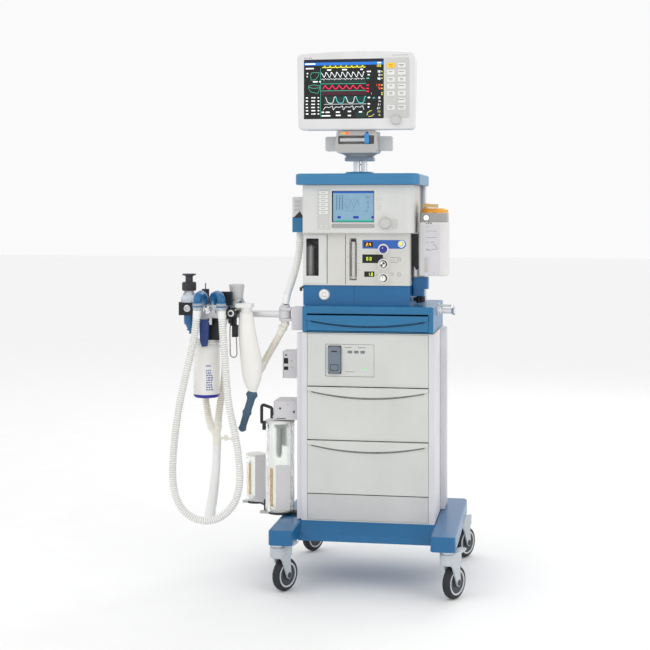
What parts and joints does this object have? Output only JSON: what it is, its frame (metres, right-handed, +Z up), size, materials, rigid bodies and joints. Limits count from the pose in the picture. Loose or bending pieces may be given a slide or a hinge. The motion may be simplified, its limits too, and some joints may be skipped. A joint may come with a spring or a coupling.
{
  "type": "anesthesia machine",
  "caption": "Mobile anesthesia workstation: drawer cabinet on swivel casters, gas and display units, tilting monitor, and a swinging breathing arm with absorber, bag and hoses.",
  "frame": {"origin": "on the floor, at the middle of the machine's footprint without its free hoses", "axes": "+Z up, -Y towards the user at the front, +X to the right as the user sees it"},
  "size_m": [0.9353, 0.6032, 1.657],
  "materials": {
    "blue_paint": "satin moulded blue",
    "base_paint": "satin blue powder coat",
    "cabinet_paint": "fine-textured light grey powder coat",
    "light_moulding": "fine-textured light grey moulding",
    "aluminium_profile": "clear anodised",
    "dark_plastic": "matte black",
    "knob_plastic": "satin grey",
    "trap_plastic": "smoky blue-grey",
    "handle_blue": "matte dark blue",
    "canister_plastic": "translucent white",
    "jar_clear": "clear polycarbonate",
    "bag_rubber": "translucent cream silicone",
    "hose_plastic": "translucent corrugated",
    "dial_yellow": "glossy amber",
    "lever_tan": "satin tan",
    "caster_grey": "satin grey nylon",
    "caster_tyre": "dark non-marking"
  },
  "bodies": {
    "root": {"base_frame": "base_paint", "cabinet_shell": "cabinet_paint", "front_panels": "cabinet_paint", "gas_module": "light_moulding", "rear_panel": "cabinet_paint", "side_rails": "aluminium_profile", "worktop": "blue_paint", "plinth_housing": "blue_paint", "gas_chassis": "light_moulding", "ventilator_unit": "dark_plastic", "flow_panel": "light_moulding", "display_housing": "light_moulding", "top_shelf": "blue_paint", "side_module": "light_moulding", "monitor_mast": "aluminium_profile", "vaporizer_body": "light_moulding", "outlet_block": "dark_plastic", "suction_jars": "jar_clear", "jar_bracket": "cabinet_paint", "side_boxes": "cabinet_paint", "arm_bracket": "light_moulding", "vent_hose_upper": "hose_plastic"},
    "caster_front_left": {"caster_fork_front_left": "caster_grey"},
    "wheel_front_left": {"caster_wheel_front_left": "caster_tyre"},
    "pedal_left": {"brake_pedal_left": "caster_grey"},
    "caster_front_right": {"caster_fork_front_right": "caster_grey"},
    "wheel_front_right": {"caster_wheel_front_right": "caster_tyre"},
    "pedal_right": {"brake_pedal_right": "caster_grey"},
    "caster_rear_left": {"caster_fork_rear_left": "caster_grey"},
    "wheel_rear_left": {"caster_wheel_rear_left": "caster_tyre"},
    "caster_rear_right": {"caster_fork_rear_right": "caster_grey"},
    "wheel_rear_right": {"caster_wheel_rear_right": "caster_tyre"},
    "lower_drawer": {"lower_drawer": "cabinet_paint"},
    "upper_drawer": {"upper_drawer": "cabinet_paint"},
    "worktop_drawer": {"worktop_drawer": "blue_paint"},
    "water_trap": {"water_trap": "trap_plastic"},
    "flush_button": {"flush_button": "knob_plastic"},
    "ventilator_door": {"ventilator_door": "light_moulding"},
    "flow_knob_oxygen": {"flow_knob_oxygen": "dark_plastic"},
    "flow_knob_nitrous": {"flow_knob_nitrous": "dark_plastic"},
    "flow_knob_air": {"flow_knob_air": "dark_plastic"},
    "display_knob": {"display_knob": "knob_plastic"},
    "monitor_dock": {"monitor_dock": "light_moulding"},
    "monitor": {"monitor_bezel": "light_moulding", "monitor_case": "light_moulding"},
    "monitor_knob": {"monitor_knob": "knob_plastic"},
    "vaporizer_dial": {"vaporizer_dial": "dial_yellow"},
    "vaporizer_lever": {"vaporizer_lever": "lever_tan"},
    "breathing_arm": {"swing_arm": "aluminium_profile", "breathing_block": "aluminium_profile", "breathing_bag": "bag_rubber", "circuit_hose": "hose_plastic", "circuit_limbs": "hose_plastic", "patient_tube": "hose_plastic", "vent_hose_lower": "hose_plastic", "sample_line": "hose_plastic"},
    "apl_valve": {"apl_valve_knob": "dark_plastic"},
    "bag_selector": {"bag_selector_knob": "light_moulding"},
    "absorber_canister": {"absorber_canister": "canister_plastic"},
    "absorber_handle": {"absorber_handle": "handle_blue"}
  },
  "joints": [
    {"name": "caster_swivel_front_left", "type": "hinge", "parent": "root", "child": "caster_front_left", "pos_m": [-0.10758, -0.27157, 0.14], "axis": [0, 0, 1], "continuous": true},
    {"name": "wheel_spin_front_left", "type": "hinge", "parent": "caster_front_left", "child": "wheel_front_left", "pos_m": [-0.09058, -0.24213, 0.05], "axis": [-0.866, 0.5, 0], "continuous": true},
    {"name": "brake_pedal_tilt_left", "type": "hinge", "parent": "caster_front_left", "child": "pedal_left", "pos_m": [-0.09258, -0.24559, 0.138], "axis": [-0.866, 0.5, 0], "range_deg": [0, 10]},
    {"name": "caster_swivel_front_right", "type": "hinge", "parent": "root", "child": "caster_front_right", "pos_m": [0.40842, -0.27157, 0.14], "axis": [0, 0, 1], "continuous": true},
    {"name": "wheel_spin_front_right", "type": "hinge", "parent": "caster_front_right", "child": "wheel_front_right", "pos_m": [0.42542, -0.24213, 0.05], "axis": [-0.866, 0.5, 0], "continuous": true},
    {"name": "brake_pedal_tilt_right", "type": "hinge", "parent": "caster_front_right", "child": "pedal_right", "pos_m": [0.42342, -0.24559, 0.138], "axis": [-0.866, 0.5, 0], "range_deg": [0, 10]},
    {"name": "caster_swivel_rear_left", "type": "hinge", "parent": "root", "child": "caster_rear_left", "pos_m": [-0.10758, 0.22643, 0.14], "axis": [0, 0, 1], "continuous": true},
    {"name": "wheel_spin_rear_left", "type": "hinge", "parent": "caster_rear_left", "child": "wheel_rear_left", "pos_m": [-0.09058, 0.25587, 0.05], "axis": [-0.866, 0.5, 0], "continuous": true},
    {"name": "caster_swivel_rear_right", "type": "hinge", "parent": "root", "child": "caster_rear_right", "pos_m": [0.40842, 0.22643, 0.14], "axis": [0, 0, 1], "continuous": true},
    {"name": "wheel_spin_rear_right", "type": "hinge", "parent": "caster_rear_right", "child": "wheel_rear_right", "pos_m": [0.42542, 0.25587, 0.05], "axis": [-0.866, 0.5, 0], "continuous": true},
    {"name": "lower_drawer_slide", "type": "slide", "parent": "root", "child": "lower_drawer", "axis": [0, -1, 0], "range_m": [0, 0.28]},
    {"name": "upper_drawer_slide", "type": "slide", "parent": "root", "child": "upper_drawer", "axis": [0, -1, 0], "range_m": [0, 0.28]},
    {"name": "worktop_drawer_slide", "type": "slide", "parent": "root", "child": "worktop_drawer", "axis": [0, -1, 0], "range_m": [0, 0.25]},
    {"name": "water_trap_pull", "type": "slide", "parent": "root", "child": "water_trap", "axis": [0, -1, 0], "range_m": [0, 0.05]},
    {"name": "flush_button_press", "type": "slide", "parent": "root", "child": "flush_button", "axis": [0, 1, 0], "range_m": [0, 0.005], "stiffness_N_per_m": 600},
    {"name": "ventilator_door_hinge", "type": "hinge", "parent": "root", "child": "ventilator_door", "pos_m": [-0.05258, -0.11857, 1.01], "axis": [0, 0, -1], "range_deg": [0, 100]},
    {"name": "flow_knob_oxygen_turn", "type": "hinge", "parent": "root", "child": "flow_knob_oxygen", "pos_m": [0.19742, -0.12757, 1.041], "axis": [0, 1, 0], "continuous": true},
    {"name": "flow_knob_nitrous_turn", "type": "hinge", "parent": "root", "child": "flow_knob_nitrous", "pos_m": [0.19742, -0.12757, 0.995], "axis": [0, 1, 0], "continuous": true},
    {"name": "flow_knob_air_turn", "type": "hinge", "parent": "root", "child": "flow_knob_air", "pos_m": [0.19742, -0.12757, 0.951], "axis": [0, 1, 0], "continuous": true},
    {"name": "display_knob_turn", "type": "hinge", "parent": "root", "child": "display_knob", "pos_m": [0.20642, -0.14757, 1.122], "axis": [0, 1, 0], "continuous": true},
    {"name": "monitor_swivel", "type": "hinge", "parent": "root", "child": "monitor_dock", "pos_m": [0.11242, -0.04257, 1.335], "axis": [0, 0, 1], "range_deg": [-60, 60]},
    {"name": "monitor_tilt", "type": "hinge", "parent": "monitor_dock", "child": "monitor", "pos_m": [0.11242, -0.00857, 1.407], "axis": [-1, 0, 0], "range_deg": [0, 15]},
    {"name": "monitor_knob_turn", "type": "hinge", "parent": "monitor", "child": "monitor_knob", "pos_m": [0.23942, -0.14757, 1.441], "axis": [0, 1, 0], "continuous": true},
    {"name": "vaporizer_dial_turn", "type": "hinge", "parent": "root", "child": "vaporizer_dial", "pos_m": [0.34842, -0.03157, 1.16], "axis": [0, 0, 1], "range_deg": [0, 300]},
    {"name": "vaporizer_lever_turn", "type": "hinge", "parent": "root", "child": "vaporizer_lever", "pos_m": [0.31642, 0.03343, 1.175], "axis": [0, 0, 1], "range_deg": [0, 45]},
    {"name": "breathing_arm_swing", "type": "hinge", "parent": "root", "child": "breathing_arm", "pos_m": [-0.12158, -0.08457, 0.832], "axis": [0, 0, 1], "range_deg": [0, 50]},
    {"name": "apl_valve_turn", "type": "hinge", "parent": "breathing_arm", "child": "apl_valve", "pos_m": [-0.43108, -0.10257, 0.92], "axis": [0, 0, 1], "range_deg": [0, 330]},
    {"name": "bag_selector_turn", "type": "hinge", "parent": "breathing_arm", "child": "bag_selector", "pos_m": [-0.27658, -0.09457, 0.9], "axis": [0, 0, 1], "range_deg": [0, 90]},
    {"name": "absorber_canister_drop", "type": "slide", "parent": "breathing_arm", "child": "absorber_canister", "axis": [0, 0, -1], "range_m": [0, 0.03]},
    {"name": "absorber_handle_swing", "type": "hinge", "parent": "breathing_arm", "child": "absorber_handle", "pos_m": [-0.36758, -0.15457, 0.811], "axis": [-1, 0, 0], "range_deg": [0, 12]}
  ]
}
